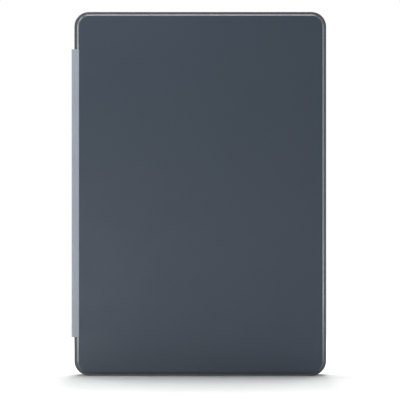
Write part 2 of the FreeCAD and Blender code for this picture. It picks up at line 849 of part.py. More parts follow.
def make_bumper_frame():
    shell_depth = size("lip_thickness + bay_depth + lining_thickness + back_plate_thickness")
    seat_depth = size("lip_thickness + bay_depth + lining_thickness")
    frame = rounded_plate(
        "bumper_frame", plane["frame_front"], size("case_width"), top_edge, size("corner_radius"), shell_depth
    )
    soften_face(frame, "Fillet", shell_depth, size("frame_back_radius"), "frame_back_edge")
    soften_face(frame, "Chamfer", "0", size("frame_front_bevel"), "frame_front_edge")
    rounded_pocket(
        frame,
        "bay_mouth",
        f"{bay_width} - 2 * sizes.lip_reach",
        f"{bay_height} - 2 * sizes.lip_reach",
        size("bay_radius - lip_reach"),
        "0",
        size("lip_thickness"),
    )
    rounded_pocket(
        frame,
        "tablet_bay",
        bay_width,
        bay_height,
        size("bay_radius"),
        size("lip_thickness"),
        size("bay_depth + lining_thickness"),
    )
    rounded_pocket(
        frame,
        "plate_seat",
        size("case_width - 2 * frame_skirt"),
        size("case_height - 2 * frame_skirt"),
        size("corner_radius - frame_skirt"),
        seat_depth,
        size("back_plate_thickness"),
    )
    tools = frame_openings() + [strip_seat_in_back("frame_strip_seat")]
    tools += magnet_pair("magnet_pocket", *shell_magnet_spans())
    keep("bumper_frame", cut("bumper_frame", frame, tools))


def stand_blank(label, thickness, gap):
    part = body(label, f"{plane['case_back']} - ({thickness})")
    width = f"{stand_axis_x} - {stand_free_x} + {gap}"
    middle_x = f"{stand_axis_x} - ({width}) / 2"
    outline = sketch_on(part, f"{label}_outline", offset=facing(middle_x, mid_height))
    rectangle(outline, width, f"{stand_high} - {stand_low} + 2 * {gap}")
    slab = pad(part, outline, thickness, f"{label}_slab")
    doc.recompute()
    free_edges = edges_along_y(slab, number(middle_x))
    soften(part, "Fillet", free_edges, f"sizes.stand_corner + {gap}", f"{label}_corners")
    return part


def make_back_plate():
    thickness = size("back_plate_thickness")
    plate = rounded_plate(
        "back_plate",
        plane["plate_inner"],
        size("case_width - 2 * frame_skirt"),
        size("case_height - 2 * frame_skirt"),
        size("corner_radius - frame_skirt"),
        thickness,
    )
    window = size("camera_window")
    window_radius = size("camera_radius")
    rounded_pocket(plate, "camera_window", window, window, window_radius, "0", thickness, camera_x, camera_z)
    recess = stand_blank("stand_recess", size("stand_thickness"), "sizes.stand_gap")
    reach = (f"{stand_low} - sizes.stand_gap", f"{stand_high} + sizes.stand_gap")
    groove_radius = size("stand_barrel_radius + stand_barrel_play")
    groove = rod("barrel_groove", stand_axis_x, stand_axis_y, reach, groove_radius)
    swing_clearance = doc.addObject("Part::Box", "swing_clearance")
    swing_clearance.setExpression("Length", "sizes.stand_barrel_radius + sizes.stand_barrel_play")
    swing_clearance.setExpression("Width", "4 * sizes.stand_barrel_radius")
    swing_clearance.setExpression("Height", f"{reach[1]} - ({reach[0]})")
    swing_clearance.setExpression("Placement.Base.x", stand_axis_x)
    swing_clearance.setExpression("Placement.Base.y", stand_axis_y)
    swing_clearance.setExpression("Placement.Base.z", reach[0])
    swing_clearance.Placement.Rotation = FreeCAD.Rotation(FreeCAD.Vector(0, 0, 1), 0)
    swing_clearance.setExpression("Placement.Rotation.Angle", "(90 - sizes.stand_swing) * 1 deg")
    notch_span = ("0", "2 * sizes.stand_thickness")
    notch = rod("finger_notch", stand_free_x, plane["case_back"], notch_span, "sizes.stand_notch_radius")
    notch.Placement.Rotation = FreeCAD.Rotation(FreeCAD.Vector(1, 0, 0), -90)
    notch.setExpression("Placement.Base.y", f"{plane['case_back']} - sizes.stand_thickness")
    notch.setExpression("Placement.Base.z", mid_height)
    bores = [
        rod(f"pin_bore_{end}", stand_axis_x, stand_axis_y, span, size("pin_radius + pin_play"))
        for end, span in pin_spans(size("pin_play")).items()
    ]
    tools = [recess, groove, swing_clearance, notch, strip_seat_in_back("plate_strip_seat")] + bores
    keep("back_plate", cut("back_plate", plate, tools))


def pin_spans(extra="0"):
    half = size("pin_length / 2")
    return {
        "lower": (f"{stand_low} - {half} - {extra}", f"{stand_low} + {half}"),
        "upper": (f"{stand_high} - {half}", f"{stand_high} + {half} + {extra}"),
    }


def make_kickstand():
    slab = stand_blank("stand_slab", size("stand_thickness"), "0")
    barrel_radius = size("stand_barrel_radius")
    barrel = rod("stand_barrel", stand_axis_x, stand_axis_y, (stand_low, stand_high), barrel_radius)
    leaf = fuse("stand_leaf", [slab, barrel])
    pins = {
        end: rod(f"stand_pin_{end}", stand_axis_x, stand_axis_y, span, size("pin_radius"))
        for end, span in pin_spans().items()
    }
    bores = [
        rod(f"stand_bore_{end}", stand_axis_x, stand_axis_y, span, size("pin_radius"))
        for end, span in pin_spans().items()
    ]
    grip_span = (
        (f"{stand_free_x} - 1", f"{stand_free_x} + sizes.grip_width"),
        (f"{plane['case_back']} - sizes.stand_thickness - 1", f"{plane['case_back']} + 1"),
        centred(mid_height, size("grip_length")),
    )
    keep("kickstand_plate", cut("kickstand_plate", leaf, bores + [box("grip_seat", *grip_span)]))
    keep("kickstand_pins", group("kickstand_pins", list(pins.values())))
    grip = box(
        "kickstand_grip",
        (stand_free_x, f"{stand_free_x} + sizes.grip_width"),
        (f"{plane['case_back']} - sizes.stand_thickness", plane["case_back"]),
        centred(mid_height, size("grip_length")),
    )
    keep("kickstand_grip", grip)


def make_back_trim():
    lining = rounded_plate(
        "back_lining",
        plane["lining_face"],
        f"{bay_width} - 2 * sizes.lining_gap",
        f"{bay_height} - 2 * sizes.lining_gap",
        size("bay_radius - lining_gap"),
        size("lining_thickness"),
    )
    window = size("camera_window + 2 * lining_gap")
    rounded_pocket(
        lining,
        "lining_window",
        window,
        window,
        size("camera_radius + lining_gap"),
        "0",
        size("lining_thickness"),
        camera_x,
        camera_z,
    )
    keep("back_lining", lining)
    ring_depth = size("back_plate_thickness - camera_ring_sink")
    ring = rounded_plate(
        "camera_ring",
        plane["plate_inner"],
        size("camera_window"),
        size("camera_window"),
        size("camera_radius"),
        ring_depth,
        camera_x,
        camera_z,
    )
    inner = size("camera_window - 2 * camera_ring_width")
    rounded_pocket(
        ring,
        "camera_view",
        inner,
        inner,
        size("camera_radius - camera_ring_width"),
        "0",
        ring_depth,
        camera_x,
        camera_z,
    )
    keep("camera_ring", ring)


def make_spine():
    radius = size("strip_thickness / 2")
    strip_z = (strip_low, strip_high)
    web = box("web_blank", centred(fold_x, size("strip_thickness")), (front_fold_y, back_fold_y), strip_z)
    noses = [
        rod(f"web_nose_{end}", fold_x, y, strip_z, radius)
        for end, y in (("front", front_fold_y), ("back", back_fold_y))
    ]
    keep("spine_web", fuse("spine_web_solid", [web] + noses))
    flanges = {
        "cover_flange": (front_fold_y, (plane["case_front"], plane["panel_back"]), ("0", "2")),
        "shell_flange": (
            back_fold_y,
            (f"{plane['case_back']} - sizes.strip_thickness", plane["case_back"]),
            ("-2", "0"),
        ),
    }
    for label, (fold_y, y_span, web_side) in flanges.items():
        blank = box(f"{label}_blank", (fold_x, strip_inner_x), y_span, strip_z)
        nose = rod(f"{label}_nose", fold_x, fold_y, strip_z, size("strip_thickness / 2 + fold_gap"))
        web_room = box(
            f"{label}_web_room",
            (fold_x, f"{fold_x} + sizes.strip_thickness / 2 + sizes.fold_gap"),
            tuple(f"{fold_y} + {steps} * sizes.strip_thickness" for steps in web_side),
            strip_z,
        )
        keep(label, cut(label, blank, [nose, web_room]))


make_cover_panel()
make_keyboard_tray()
make_keyboard_deck()
make_key_floor()
make_dome_sheet()
for key_row in key_rows:
    make_keys(*key_row)
make_touchpad()
make_electronics()
make_charging_socket()
make_power_switch()
make_small_deck_parts()
make_magnets()
make_bumper_frame()
make_back_plate()
make_kickstand()
make_back_trim()
make_spine()
doc.recompute()

for thing in doc.Objects:
    if "Invalid" in thing.State or "Error" in thing.State:
        raise RuntimeError(f"{thing.Label} did not build: {thing.State}")
os.makedirs("parts", exist_ok=True)
for label, shape in nodes.items():
    if shape.Shape.isNull() or not shape.Shape.isValid():
        raise RuntimeError(f"{label} has no valid shape")
    shape.Shape.exportStep(f"parts/{label}.step")
    print(label, len(shape.Shape.Solids), round(shape.Shape.Volume, 1))
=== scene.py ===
import json
from math import radians

import bmesh
import bpy
from mathutils import Matrix, Vector


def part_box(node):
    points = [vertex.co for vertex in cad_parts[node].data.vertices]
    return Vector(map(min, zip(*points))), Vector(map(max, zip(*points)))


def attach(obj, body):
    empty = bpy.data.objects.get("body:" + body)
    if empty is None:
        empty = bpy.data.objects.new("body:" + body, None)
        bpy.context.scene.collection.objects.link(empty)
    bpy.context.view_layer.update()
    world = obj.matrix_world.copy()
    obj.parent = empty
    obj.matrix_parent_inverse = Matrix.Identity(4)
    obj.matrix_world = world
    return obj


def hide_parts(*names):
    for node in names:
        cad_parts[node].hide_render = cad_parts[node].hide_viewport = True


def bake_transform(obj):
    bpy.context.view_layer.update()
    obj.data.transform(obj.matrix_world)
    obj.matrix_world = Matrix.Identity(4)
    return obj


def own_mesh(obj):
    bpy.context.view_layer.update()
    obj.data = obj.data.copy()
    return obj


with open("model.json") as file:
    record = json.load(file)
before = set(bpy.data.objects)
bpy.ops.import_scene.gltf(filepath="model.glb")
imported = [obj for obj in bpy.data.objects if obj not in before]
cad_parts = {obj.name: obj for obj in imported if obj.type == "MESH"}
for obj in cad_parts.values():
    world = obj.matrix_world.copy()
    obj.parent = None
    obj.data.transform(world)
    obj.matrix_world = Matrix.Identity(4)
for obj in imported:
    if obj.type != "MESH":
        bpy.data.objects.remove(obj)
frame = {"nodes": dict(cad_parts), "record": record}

scene = bpy.context.scene
nodes = frame["nodes"]
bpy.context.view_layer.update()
print("frame loaded:", len(nodes), "nodes")

xAxis, yAxis, zAxis = range(3)
samePlace = 1e-6  # points nearer than this are one point
alongAxis = 0.99  # a direction with this much of one axis runs along it
sharpAngle = radians(32)  # edges sharper than this stay crisp
sameFlat = radians(1)  # faces turned less than this are one flat
noiseRange = (0.3, 0.7)  # where nearly all noise lies
rubRange = (0.35, 0.7)  # noise that rubs an edge from not at all to fully
edgeRange = (0.75, 0.99)  # how far a surface faces an axis, from an edge to a flat


def slabBetween(low, high):
    bm = bmesh.new()
    low, high = Vector(low), Vector(high)
    made = bmesh.ops.create_cube(bm, size=1.0)["verts"]
    bmesh.ops.scale(bm, vec=high - low, verts=made)
    bmesh.ops.translate(bm, vec=(low + high) / 2, verts=made)
    return bm


def copyOfNode(name):
    # CAD meshes are loose triangles, so they are merged first
    bm = bmesh.new()
    bm.from_mesh(nodes[name].data)
    bmesh.ops.remove_doubles(bm, verts=bm.verts, dist=samePlace)
    bmesh.ops.dissolve_limit(bm, angle_limit=sameFlat, verts=bm.verts, edges=bm.edges)
    return bm


def edgesAlong(bm, axis):
    return [e for e in bm.edges if abs((e.verts[1].co - e.verts[0].co).normalized()[axis]) > alongAxis]


def edgesAt(bm, axis, value):
    return [e for e in bm.edges if all(abs(v.co[axis] - value) < samePlace for v in e.verts)]


def roundOff(bm, geom, offset, segments, affect="EDGES"):
    bmesh.ops.bevel(
        bm, geom=geom, offset=offset, offset_type="OFFSET", segments=segments,
        profile=0.5, affect=affect, clamp_overlap=True, material=-1,
    )


def bareMesh(name, bm):
    mesh = bpy.data.meshes.new(name)
    bm.to_mesh(mesh)
    bm.free()
    return mesh


def toMesh(name, bm, finishes):
    bmesh.ops.recalc_face_normals(bm, faces=bm.faces)
    mesh = bareMesh(name, bm)
    for finish in finishes:
        mesh.materials.append(finish)
    mesh.shade_smooth()
    mesh.set_sharp_from_angle(angle=sharpAngle)
    return mesh


def addPiece(name, bm, finishes, replaced, body=None):
    piece = bpy.data.objects.new(name, toMesh(name, bm, finishes))
    scene.collection.objects.link(piece)
    flatten = piece.modifiers.new("flatFaces", "WEIGHTED_NORMAL")
    flatten.keep_sharp = True
    if body:
        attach(piece, body)
    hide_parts(replaced)
    return piece


def cutAway(bm, low, high):
    base = bpy.data.meshes.new("cutBase")
    bm.to_mesh(base)
    tool = bareMesh("cutTool", slabBetween(low, high))
    made = [bpy.data.objects.new(mesh.name, mesh) for mesh in (base, tool)]
    for obj in made:
        scene.collection.objects.link(obj)
    boolean = made[0].modifiers.new("cut", "BOOLEAN")
    boolean.object = made[1]
    boolean.operation = "DIFFERENCE"
    boolean.solver = "EXACT"
    ready = made[0].evaluated_get(bpy.context.evaluated_depsgraph_get())
    result = bpy.data.meshes.new_from_object(ready)
    bm.clear()
    bm.from_mesh(result)
    for obj in made:
        bpy.data.objects.remove(obj)
    for mesh in (base, tool, result):
        bpy.data.meshes.remove(mesh)


def addNode(tree, kind, inputs=None, **settings):
    node = tree.nodes.new("ShaderNode" + kind)
    for key, value in settings.items():
        setattr(node, key, value)
    for key, value in (inputs or {}).items():
        if isinstance(value, bpy.types.NodeSocket):
            tree.links.new(value, node.inputs[key])
        else:
            node.inputs[key].default_value = value
    return node


def startFinish(name, look):
    finish = bpy.data.materials.new(name)
    finish.use_nodes = True
    tree = finish.node_tree
    shader = tree.nodes["Principled BSDF"]
    shader.inputs["Metallic"].default_value = look["metal"]
    shader.inputs["Specular IOR Level"].default_value = look["specular"]
    return finish, tree, shader, addNode(tree, "TexCoord").outputs


def noiseOf(tree, point, size, detail=2.0, roughness=0.5):
    inputs = {"Vector": point, "Scale": 1 / size, "Detail": detail, "Roughness": roughness}
    return addNode(tree, "TexNoise", inputs).outputs["Fac"]


def spread(tree, value, fromRange, toLow, toHigh):
    fromLow, fromHigh = fromRange
    inputs = {"Value": value, "From Min": fromLow, "From Max": fromHigh, "To Min": toLow, "To Max": toHigh}
    return addNode(tree, "MapRange", inputs).outputs["Result"]


def varied(tree, noise, middle, change):
    return spread(tree, noise, noiseRange, middle - change, middle + change)


def paint(colour, share=1.0):
    return (*[min(1.0, part * share) for part in colour], 1.0)


def mixed(tree, factor, first, second):
    # the socket numbers are those of a colour mix
    return addNode(tree, "Mix", {0: factor, 6: first, 7: second}, data_type="RGBA").outputs[2]


def twoShades(tree, noise, colour, darker, lighter):
    factor = spread(tree, noise, noiseRange, 0.0, 1.0)
    return mixed(tree, factor, paint(colour, darker), paint(colour, lighter))


def mathOf(tree, operation, first, second):
    return addNode(tree, "Math", {0: first, 1: second}, operation=operation).outputs[0]


def edgeMask(tree, normal):
    # 1 on bevels and fillets, where the surface faces none of the three axes
    turned = addNode(tree, "VectorMath", {0: normal}, operation="ABSOLUTE").outputs[0]
    parts = addNode(tree, "SeparateXYZ", {0: turned}).outputs
    most = mathOf(tree, "MAXIMUM", parts[0], parts[1])
    most = mathOf(tree, "MAXIMUM", most, parts[2])
    return spread(tree, most, edgeRange, 1.0, 0.0)


def rubbedEdges(tree, place, patch, wear):
    patches = noiseOf(tree, place["Object"], patch, detail=4.0)
    rubbed = spread(tree, patches, rubRange, 0.0, wear)
    return mathOf(tree, "MULTIPLY", edgeMask(tree, place["Normal"]), rubbed)


def addBump(tree, shader, height, strength, depth, invert=False):
    inputs = {"Height": height, "Strength": strength, "Distance": depth}
    tree.links.new(addNode(tree, "Bump", inputs, invert=invert).outputs[0], shader.inputs["Normal"])


def mouldedFinish(name, look):
    # fine-grained plastic or rubber, rubbed on its edges
    look = {
        "metal": 0.0, "specular": 0.5, "patch": 0.045, "shift": 0.06, "wear": 0.25, "wearPatch": 0.004,
        "wornShare": 2.0, "smudge": 0.04, "smudgePatch": 0.02, "grain": 0.0005, "bump": 0.25, "depth": 0.0001,
        **look,
    }
    finish, tree, shader, place = startFinish(name, look)
    point, colour, shift = place["Object"], look["colour"], look["shift"]
    patches = noiseOf(tree, point, look["patch"], detail=3.0)
    shade = twoShades(tree, patches, colour, 1 - shift, 1 + shift)
    rub = rubbedEdges(tree, place, look["wearPatch"], look["wear"])
    worn = paint(look["worn"]) if "worn" in look else paint(colour, look["wornShare"])
    tree.links.new(mixed(tree, rub, shade, worn), shader.inputs["Base Color"])
    smudges = noiseOf(tree, point, look["smudgePatch"], detail=4.0, roughness=0.6)
    tree.links.new(varied(tree, smudges, look["rough"], look["smudge"]), shader.inputs["Roughness"])
    grain = noiseOf(tree, point, look["grain"], detail=3.0, roughness=0.6)
    addBump(tree, shader, grain, look["bump"], look["depth"])
    return finish


def rolledFinish(name, look):
    # metal with fine lines along an axis, or an even grain where all three scales match
    look = {
        "metal": 1.0, "specular": 0.5, "lines": (60.0, 4000.0, 4000.0), "shift": (0.86, 1.1), "wear": 0.3,
        "wornShare": 1.5, "smudge": 0.06, "bump": 0.15, "depth": 0.00005, **look,
    }
    finish, tree, shader, place = startFinish(name, look)
    colour, (darker, lighter) = look["colour"], look["shift"]
    lines = addNode(tree, "Mapping", {"Vector": place["Object"], "Scale": look["lines"]}).outputs[0]
    streak = addNode(tree, "TexNoise", {"Vector": lines, "Scale": 1.0, "Detail": 3.0}).outputs["Fac"]
    shade = twoShades(tree, streak, colour, darker, lighter)
    rub = mathOf(tree, "MULTIPLY", edgeMask(tree, place["Normal"]), look["wear"])
    tree.links.new(mixed(tree, rub, shade, paint(colour, look["wornShare"])), shader.inputs["Base Color"])
    tree.links.new(varied(tree, streak, look["rough"], look["smudge"]), shader.inputs["Roughness"])
    addBump(tree, shader, streak, look["bump"], look["depth"])
    return finish


def pileFinish(name, look):
    # short brushed microfibre
    look = {
        "metal": 0.0, "rough": 0.92, "brush": 0.018, "shift": 0.1, "speckRange": (0.1, 0.7), "speck": 0.45,
        "speckShare": 0.55, "bump": 0.5, "depth": 0.0002, **look,
    }
    finish, tree, shader, place = startFinish(name, look)
    point, colour, shift = place["Object"], look["colour"], look["shift"]
    shader.inputs["Sheen Weight"].default_value = look["sheen"]
    shader.inputs["Sheen Roughness"].default_value = look["sheenRough"]
    shader.inputs["Roughness"].default_value = look["rough"]
    brushed = noiseOf(tree, point, look["brush"], detail=4.0, roughness=0.65)
    shade = twoShades(tree, brushed, colour, 1 - shift, 1 + shift)
    inputs = {"Vector": point, "Scale": 1 / look["fibre"], "Randomness": 1.0}
    fibre = addNode(tree, "TexVoronoi", inputs).outputs["Distance"]
    speck = spread(tree, fibre, look["speckRange"], 0.0, look["speck"])
    tree.links.new(mixed(tree, speck, shade, paint(colour, look["speckShare"])), shader.inputs["Base Color"])
    addBump(tree, shader, fibre, look["bump"], look["depth"])
    return finish


def pebbleFinish(name, look):
    # elastomer with a fine pebbled skin, painted darker in its grooves as shade
    look = {
        "metal": 0.0, "patch": 0.03, "shift": 0.05, "grooveRange": (0.45, 0.75), "groove": 0.25,
        "grooveShare": 0.75, "wear": 0.3, "wearPatch": 0.003, "wornShare": 0.7, "smudge": 0.05, "bump": 0.2,
        "depth": 0.0001, **look,
    }
    finish, tree, shader, place = startFinish(name, look)
    point, colour, shift = place["Object"], look["colour"], look["shift"]
    patches = noiseOf(tree, point, look["patch"], detail=3.0)
    shade = twoShades(tree, patches, colour, 1 - shift, 1 + shift)
    inputs = {"Vector": point, "Scale": 1 / look["pebble"]}
    pebble = addNode(tree, "TexVoronoi", inputs, feature="SMOOTH_F1").outputs["Distance"]
    # the grooves between the pebbles are darkened in colour: painted shade
    groove = spread(tree, pebble, look["grooveRange"], 0.0, look["groove"])
    shade = mixed(tree, groove, shade, paint(colour, look["grooveShare"]))
    rub = rubbedEdges(tree, place, look["wearPatch"], look["wear"])
    tree.links.new(mixed(tree, rub, shade, paint(colour, look["wornShare"])), shader.inputs["Base Color"])
    tree.links.new(varied(tree, patches, look["rough"], look["smudge"]), shader.inputs["Roughness"])
    addBump(tree, shader, pebble, look["bump"], look["depth"], invert=True)
    return finish


def boardFinish(name, look):
    # solder mask with fine tracks and bright pads
    look = {
        "metal": 0.0, "specular": 0.5, "trackScale": 420.0, "trackWidth": 0.012, "maskShare": 0.8,
        "trackShare": 1.7, "padPatch": 0.006, "padRange": (0.62, 0.68), "padMost": 0.8,
        "pad": (0.55, 0.5, 0.32), "bump": 0.2, "depth": 0.00005, **look,
    }
    finish, tree, shader, place = startFinish(name, look)
    point, colour = place["Object"], look["colour"]
    inputs = {
        "Vector": point, "Scale": look["trackScale"], "Mortar Size": look["trackWidth"],
        "Color1": (0, 0, 0, 1), "Color2": (0, 0, 0, 1), "Mortar": (1, 1, 1, 1),
    }
    tracks = addNode(tree, "TexBrick", inputs).outputs["Color"]
    shade = mixed(tree, tracks, paint(colour, look["maskShare"]), paint(colour, look["trackShare"]))
    pads = spread(tree, noiseOf(tree, point, look["padPatch"]), look["padRange"], 0.0, look["padMost"])
    tree.links.new(mixed(tree, pads, shade, paint(look["pad"])), shader.inputs["Base Color"])
    tree.links.new(spread(tree, tracks, (0.0, 1.0), *look["rough"]), shader.inputs["Roughness"])
    addBump(tree, shader, tracks, look["bump"], look["depth"])
    return finish


slate = (0.0345, 0.0485, 0.0695)
finishes = {
    "cover_skin": mouldedFinish("coverSkin", {
        "colour": slate, "rough": 0.42, "specular": 0.28, "shift": 0.03, "wear": 0.2,
    }),
    "back_skin": mouldedFinish("backSkin", {"colour": slate, "rough": 0.45, "specular": 0.28, "shift": 0.03}),
    "strip": pebbleFinish("stripSkin", {
        "colour": (0.312, 0.349, 0.395), "rough": 0.55, "specular": 0.35, "pebble": 0.0007,
    }),
    "tray": mouldedFinish("trayShell", {
        "colour": (0.046, 0.050, 0.057), "rough": 0.5, "grain": 0.0003, "wear": 0.15,
    }),
    "deck": mouldedFinish("deckSkin", {"colour": (0.048, 0.056, 0.068), "rough": 0.5, "specular": 0.4}),
    "frame": mouldedFinish("frameRubber", {
        "colour": (0.028, 0.030, 0.033), "rough": 0.62, "specular": 0.4, "grain": 0.0004, "depth": 0.00015,
        "wear": 0.3,
    }),
    "keycap": mouldedFinish("keycap", {
        "colour": (0.021, 0.023, 0.027), "rough": 0.5, "grain": 0.0003, "wear": 0.3,
    }),
    "touchpad": mouldedFinish("padGlass", {
        "colour": (0.043, 0.048, 0.056), "rough": 0.33, "grain": 0.0002, "depth": 0.00003, "wear": 0.6,
        "worn": (0.3, 0.32, 0.35),
    }),
    "stand": mouldedFinish("standPaint", {
        "colour": (0.052, 0.066, 0.086), "rough": 0.4, "specular": 0.45, "shift": 0.04, "wear": 0.5,
        "worn": (0.3, 0.31, 0.32),
    }),
    "bumper": mouldedFinish("bumperRubber", {
        "colour": (0.03, 0.03, 0.032), "rough": 0.8, "specular": 0.25, "grain": 0.0006, "depth": 0.0002,
        "shift": 0.12,
    }),
    "dome": mouldedFinish("domeRubber", {
        "colour": (0.03, 0.03, 0.03), "rough": 0.7, "specular": 0.3, "shift": 0.1,
    }),
    "switch": mouldedFinish("switchNylon", {"colour": (0.02, 0.02, 0.02), "rough": 0.5, "shift": 0.1}),
    "knob": mouldedFinish("knobPlastic", {"colour": (0.16, 0.17, 0.18), "rough": 0.45, "wear": 0.4}),
    "membrane": mouldedFinish("membraneFilm", {
        "colour": (0.1, 0.1, 0.1), "rough": 0.25, "patch": 0.004, "shift": 0.3,
    }),
    "lens": mouldedFinish("lensPipe", {
        "colour": (0.7, 0.7, 0.7), "rough": 0.35, "grain": 0.0002, "shift": 0.04,
    }),
    "lining": pileFinish("liningPile", {
        "colour": (0.16, 0.17, 0.18), "fibre": 0.0006, "sheen": 0.35, "sheenRough": 0.4, "specular": 0.15,
    }),
    "ring": rolledFinish("ringAnodised", {
        "colour": (0.2, 0.21, 0.23), "rough": 0.34, "lines": (900.0, 900.0, 900.0), "wear": 0.5,
    }),
    "steel": rolledFinish("pinSteel", {"colour": (0.55, 0.55, 0.56), "rough": 0.28}),
    "support": rolledFinish("supportSheet", {"colour": (0.6, 0.6, 0.62), "rough": 0.4}),
    "spring_sheet": rolledFinish("springSheet", {"colour": (0.5, 0.5, 0.5), "rough": 0.35}),
    "can": rolledFinish("shieldCan", {"colour": (0.6, 0.6, 0.6), "rough": 0.38}),
    "socket": rolledFinish("socketShell", {
        "colour": (0.62, 0.62, 0.63), "rough": 0.3, "lines": (3000.0, 3000.0, 90.0),
    }),
    "battery": rolledFinish("cellPouch", {
        "colour": (0.45, 0.45, 0.46), "rough": 0.45, "lines": (500.0, 500.0, 500.0),
    }),
    "magnet": rolledFinish("magnetNickel", {
        "colour": (0.6, 0.6, 0.6), "rough": 0.22, "lines": (1500.0, 1500.0, 1500.0),
    }),
    "board": boardFinish("boardMask", {"colour": (0.02, 0.12, 0.06), "rough": (0.35, 0.5)}),
}
# the cover bevel's finish: really glossier than the skin, and its colour lighter than the skin's as a painted
# highlight
glossyBevelPaintedHighlight = mouldedFinish("glossyBevelPaintedHighlight", {
    "colour": (0.066, 0.076, 0.09), "rough": 0.26, "specular": 0.38, "shift": 0.03, "wear": 0.06,
    "smudge": 0.012, "bump": 0.1,
})
legendInk = mouldedFinish("legendInk", {
    "colour": (0.55, 0.57, 0.6), "rough": 0.6, "grain": 0.0002, "wear": 0.0,
})

slotOf = {row["node"]: row["material_slot"] for row in frame["record"]["subparts"]}
for nodeName, node in nodes.items():
    node.data.materials.clear()
    node.data.materials.append(finishes[slotOf[nodeName]])
print("finishes made:", len(finishes))


# cover panel, the face that the photograph shows; the rims are how far it stops short of its CAD node
panel = {
    "corner": 0.0093, "cornerSteps": 16, "bevel": 0.00135, "bevelSteps": 1, "soft": 0.0001, "softSteps": 3,
    "leftRim": 0.0004, "topRim": 0.00025, "seam": 0.0001, "cutPast": 0.01, "bevelGlossAndPaintedHighlight": (-0.98, -0.2),
}
panelLow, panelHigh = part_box("cover_panel")
flangeLow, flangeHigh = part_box("cover_flange")
bm = slabBetween(panelLow + Vector((panel["leftRim"], 0, 0)), panelHigh - Vector((0, 0, panel["topRim"])))
roundOff(bm, edgesAlong(bm, yAxis), panel["corner"], panel["cornerSteps"])
roundOff(bm, edgesAt(bm, yAxis, panelLow.y), panel["bevel"], panel["bevelSteps"])
roundOff(bm, edgesAt(bm, yAxis, panelLow.y), panel["soft"], panel["softSteps"])
cutAway(
    bm,
    (panelLow.x - panel["cutPast"], panelLow.y - panel["cutPast"], flangeLow.z - panel["seam"]),
    (flangeHigh.x + panel["seam"], panelHigh.y + panel["cutPast"], flangeHigh.z + panel["seam"]),
)
bm.normal_update()
mostFront, leastFront = panel["bevelGlossAndPaintedHighlight"]
for face in bm.faces:
    face.material_index = int(mostFront < face.normal.y < leastFront)  # the bevel is glossier, and its colour is painted lighter than the skin as a highlight
addPiece("coverPanel", bm, [finishes["cover_skin"], glossyBevelPaintedHighlight], "cover_panel", "cover")
print("cover panel made")


# soft strip, two halves that meet in the middle of the web
strip = {
    "fold": 0.0007, "foldSteps": 8, "inside": 0.0002, "insideSteps": 3, "tip": 0.0003, "tipSteps": 3,
    "end": 0.00025, "endSteps": 3, "middleZ": 0.1336,
}
webLow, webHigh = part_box("spine_web")
webOut, webIn = webLow.x, webHigh.x


def stripHalf(name, flange, side):
    low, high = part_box(flange)
    outY, inY = (low.y, high.y) if side < 0 else (high.y, low.y)
    corners = [(high.x, outY), (webOut, outY), (webOut, 0.0), (webIn, 0.0), (webIn, inY), (high.x, inY)]
    bm = bmesh.new()
    made = [bm.verts.new((x, y, low.z)) for x, y in corners]
    bm.faces.new(made)
    for index, part in ((1, "fold"), (4, "inside"), (0, "tip")):  # the corners' places in the list
        roundOff(bm, [made[index]], strip[part], strip[part + "Steps"], "VERTICES")
    grown = bmesh.ops.extrude_face_region(bm, geom=bm.faces[:])["geom"]
    farEnd = [v for v in grown if isinstance(v, bmesh.types.BMVert)]
    bmesh.ops.translate(bm, vec=(0, 0, high.z - low.z), verts=farEnd)
    ends = edgesAt(bm, zAxis, low.z) + edgesAt(bm, zAxis, high.z)
    ends = [e for e in ends if any(abs(v.co.y) > samePlace for v in e.verts)]  # not where the halves meet
    roundOff(bm, ends, strip["end"], strip["endSteps"])
    piece = addPiece(name, bm, [finishes["strip"]], flange)
    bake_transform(piece)
    return piece


coverStrip = stripHalf("coverStrip", "cover_flange", -1)
stripHalf("shellStrip", "shell_flange", 1)
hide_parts("spine_web")
print("strip made")


# hollow key caps with a dished top and a generic legend
keyCaps = {
    "corner": 0.0016, "cornerSteps": 5, "edge": 0.0004, "edgeSteps": 3, "rim": 0.0013, "dish": 0.00016,
    "gap": 0.0022, "wall": 0.0009, "draft": 0.0001, "hollow": 0.0007,
    "letter": 0.0046, "word": 0.0027, "letterSteps": 3, "arrow": 0.0015, "ink": 0.00003,
}
keyLegends = {
    "function_row_keys": "esc F1 F2 F3 F4 F5 F6 F7 F8 F9 F10 F11 F12 del",
    "number_row_keys": "` 1 2 3 4 5 6 7 8 9 0 - =",
    "backspace_key": "back",
    "tab_key": "tab",
    "upper_letter_keys": "Q W E R T Y U I O P [ ]",
    "backslash_key": "\\",
    "caps_lock_key": "caps",
    "home_letter_keys": "A S D F G H J K L ; '",
    "enter_key": "enter",
    "left_shift_key": "shift",
    "lower_letter_keys": "Z X C V B N M , . /",
    "right_shift_key": "shift",
    "up_arrow_key": "up",
    "left_modifier_keys": "fn ctrl alt sym",
    "space_bar": "plain",
    "right_modifier_keys": "alt ctrl",
    "left_arrow_key": "left",
    "down_arrow_key": "down",
    "right_arrow_key": "right",
}
arrowTurns = {"up": 0, "left": 90, "down": 180, "right": 270}
typingTurn = Matrix(((0, -1, 0), (0, 0, 1), (-1, 0, 0))).to_4x4()  # read from the free edge, screen side up


def arrowMesh(turn):
    bm = bmesh.new()
    bmesh.ops.create_cone(
        bm, cap_ends=True, segments=3, radius1=keyCaps["arrow"], radius2=keyCaps["arrow"],
        depth=2 * keyCaps["ink"], matrix=Matrix.Rotation(radians(turn), 4, "Z"),
    )
    return bareMesh("arrow", bm)


